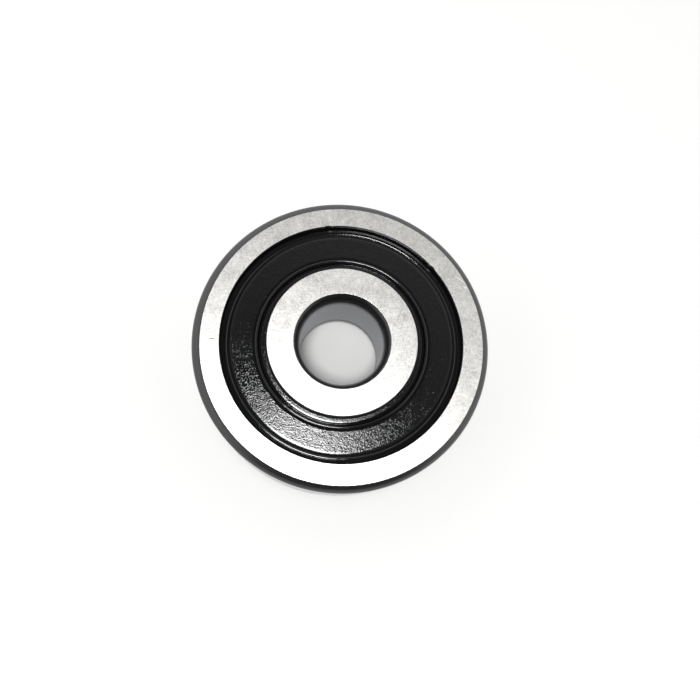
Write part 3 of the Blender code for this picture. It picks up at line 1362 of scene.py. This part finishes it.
@dataclass
class Studio:
    """Floor, light and camera.

    Angles are in degrees. Each pair of them is where a change in the light begins and ends.
    """

    floor_height: float
    face_height: float
    walls: float = 1.90
    ceiling: float = 0.40
    overhead: float = 0.15
    near_side: float = 0.05
    ceiling_rise: Point = (0.55, 0.85)
    overhead_cone: Point = (24.0, 10.0)
    near_spread: Point = (58.0, 34.0)
    near_rise: Point = (56.0, 40.0)
    key_power: float = 3.0
    key_towards: Point = (243.0, 77.8)
    key_distance: float = 0.50
    key_size: float = 0.135
    camera_spot: tuple[float, float, float] = (-5.99 * MM, -19.31 * MM, 79.11 * MM)
    camera_right: tuple[float, float, float] = (0.9965, -0.0186, 0.0816)
    camera_up: tuple[float, float, float] = (-0.0002, 0.9746, 0.2238)

    def build_floor(self) -> None:
        """Lay a plain pale card under the follower."""
        reach = 1.5
        mesh = bpy.data.meshes.new("floor")
        corners = [(-reach, -reach), (reach, -reach), (reach, reach), (-reach, reach)]
        mesh.from_pydata([(x, y, self.floor_height) for x, y in corners], [], [(0, 1, 2, 3)])
        mesh.materials.append(MattePaper("white_card").build())
        floor = bpy.data.objects.new("floor", mesh)
        bpy.context.scene.collection.objects.link(floor)

    def hang_key(self) -> None:
        """Hang one small square lamp that faces the follower."""
        azimuth, elevation = (radians(angle) for angle in self.key_towards)
        lamp = bpy.data.lights.new("key", "AREA")
        lamp.shape = "SQUARE"
        lamp.size = self.key_size
        lamp.energy = self.key_power
        holder = bpy.data.objects.new("key", lamp)
        heading = Vector((cos(azimuth) * cos(elevation), sin(azimuth) * cos(elevation), sin(elevation)))
        holder.location = heading * self.key_distance
        holder.rotation_euler = heading.to_track_quat("Z", "Y").to_euler()
        bpy.context.scene.collection.objects.link(holder)

    def build_light(self) -> None:
        """Light the room softly, dim overhead and towards the bench's near side, and add the lamp.

        The dim parts give the polished rubber and the dark corners something dark to mirror. The
        camera sees a plain pale room in every direction.
        """
        world = bpy.data.worlds.new("soft_room")
        bpy.context.scene.world = world
        world.use_nodes = True
        tree = world.node_tree
        heading = add_node(tree, "ShaderNodeTexCoord", {}).outputs["Generated"]
        height = add_node(tree, "ShaderNodeSeparateXYZ", {0: heading}).outputs["Z"]
        ceiling = remap(tree, height, self.ceiling_rise, (self.walls, self.ceiling), "SMOOTHSTEP")
        above = vectors(tree, "DOT_PRODUCT", heading, Vector((0, 0.06, 1)).normalized())
        cone = [cos(radians(angle)) for angle in self.overhead_cone]
        overhead = remap(tree, above, cone, (1.0, self.overhead), "SMOOTHSTEP")
        level = vectors(tree, "NORMALIZE", vectors(tree, "MULTIPLY", heading, (1, 1, 0)))
        aside = add_node(tree, "ShaderNodeSeparateXYZ", {0: level}).outputs["Y"]
        spread_limits = [-cos(radians(angle)) for angle in self.near_spread]
        near = remap(tree, aside, spread_limits, (1.0, self.near_side), "SMOOTHSTEP")
        rise_limits = [sin(radians(angle)) for angle in self.near_rise]
        low = remap(tree, height, rise_limits, (0.0, 1.0), "SMOOTHSTEP")
        bench = add_node(tree, "ShaderNodeMix", {0: low, 2: 1.0, 3: near}).outputs[0]
        light = maths(tree, "MULTIPLY", maths(tree, "MULTIPLY", ceiling, overhead), bench)
        seen = add_node(tree, "ShaderNodeLightPath", {}).outputs["Is Camera Ray"]
        strength = add_node(tree, "ShaderNodeMix", {0: seen, 2: light, 3: 1.0}).outputs[0]
        background = tree.nodes["Background"]
        background.inputs["Color"].default_value = linear("#FFFFFF")
        tree.links.new(strength, background.inputs["Strength"])
        self.hang_key()

    def build_camera(self) -> None:
        """Set up a phone's main lens, close above the front face and a little to one side."""
        camera = bpy.data.cameras.new("camera")
        camera.lens = 36.0
        camera.sensor_width = 36.0
        camera.sensor_fit = "HORIZONTAL"
        camera.clip_start = 0.001
        holder = bpy.data.objects.new("camera", camera)
        right = Vector(self.camera_right).normalized()
        back = right.cross(Vector(self.camera_up)).normalized()
        turn = Matrix((right, back.cross(right), back)).transposed().to_4x4()
        spot = Vector(self.camera_spot) + Vector((0, 0, self.face_height))
        holder.matrix_world = Matrix.Translation(spot) @ turn
        bpy.context.scene.collection.objects.link(holder)
        bpy.context.scene.camera = holder

    def build(self) -> None:
        """Set up the floor, the light and the camera."""
        self.build_floor()
        self.build_light()
        self.build_camera()
        bpy.context.scene.view_settings.view_transform = "Standard"


def main() -> None:
    """Build the follower piece by piece, then the studio round it."""
    logging.basicConfig(level=logging.INFO, format="%(name)s %(message)s")
    trees = Trees(turning_tree(), ball_tree(), rivet_tree(), punching_tree())
    low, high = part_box("outer_ring")
    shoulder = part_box("inner_ring")[1].x
    bore = node_radii("inner_ring")[0]
    ball_low, ball_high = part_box("ball_1")
    ball_radius = (ball_high.z - ball_low.z) / 2
    pitch_radius = (ball_low.x + ball_high.x) / 2
    count = sum(name.startswith("ball_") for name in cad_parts)

    handling_marks = (
        Scratch((-15.1 * MM, 0.22 * MM), 0.9 * MM, 8.0),
        Scratch((14.3 * MM, 7.6 * MM), 1.4 * MM, -35.0, shade="#F4F4F2"),
        Scratch((14.9 * MM, 6.6 * MM), 0.8 * MM, -28.0, shade="#F4F4F2"),
        Scratch((6.7 * MM, 2.9 * MM), 2.9 * MM, 67.0, 0.035 * MM, "#8C8C8E"),
        Scratch((7.3 * MM, 2.6 * MM), 1.8 * MM, 62.0, 0.035 * MM, "#9A9A9C"),
    )
    rings = Rings(tread=high.x, bore=bore, half_width=high.z, shoulder=shoulder)
    rings.build(
        trees,
        {
            Zone.FACE: GroundFace("face_ground_steel", handling_marks).build(),
            Zone.CORNER: ScaleAndPaintedShadeSteel("scaled_corner_and_painted_shade_steel").build(),
            Zone.TREAD: RingedSteel("ground_tread_steel", "#C4C4C5", "#A6A6A8", 0.34).build(),
            # The bore's darker grey colours are painted shade inside the hole.
            Zone.BORE: RingedSteel("ground_bore_steel", "#8B8C90", "#77787D", 0.36).build(),
        },
    )
    seals = [Seal(side) for side in Side]
    rubber = MouldedRubber("nitrile_rubber", seals[0].grain_inner, seals[0].grain_outer).build()
    plate = PressedSteel("seal_plate_steel").build()
    for seal in seals:
        seal.build(trees, rubber, plate)
    Balls(count, ball_radius, pitch_radius).build(trees, LappedSteel("lapped_ball_steel").build())
    Cage(count, ball_radius, pitch_radius).build(trees, PressedSteel("pressed_cage_steel").build())
    Studio(floor_height=low.z, face_height=high.z).build()


if __name__ == "__main__":
    main()
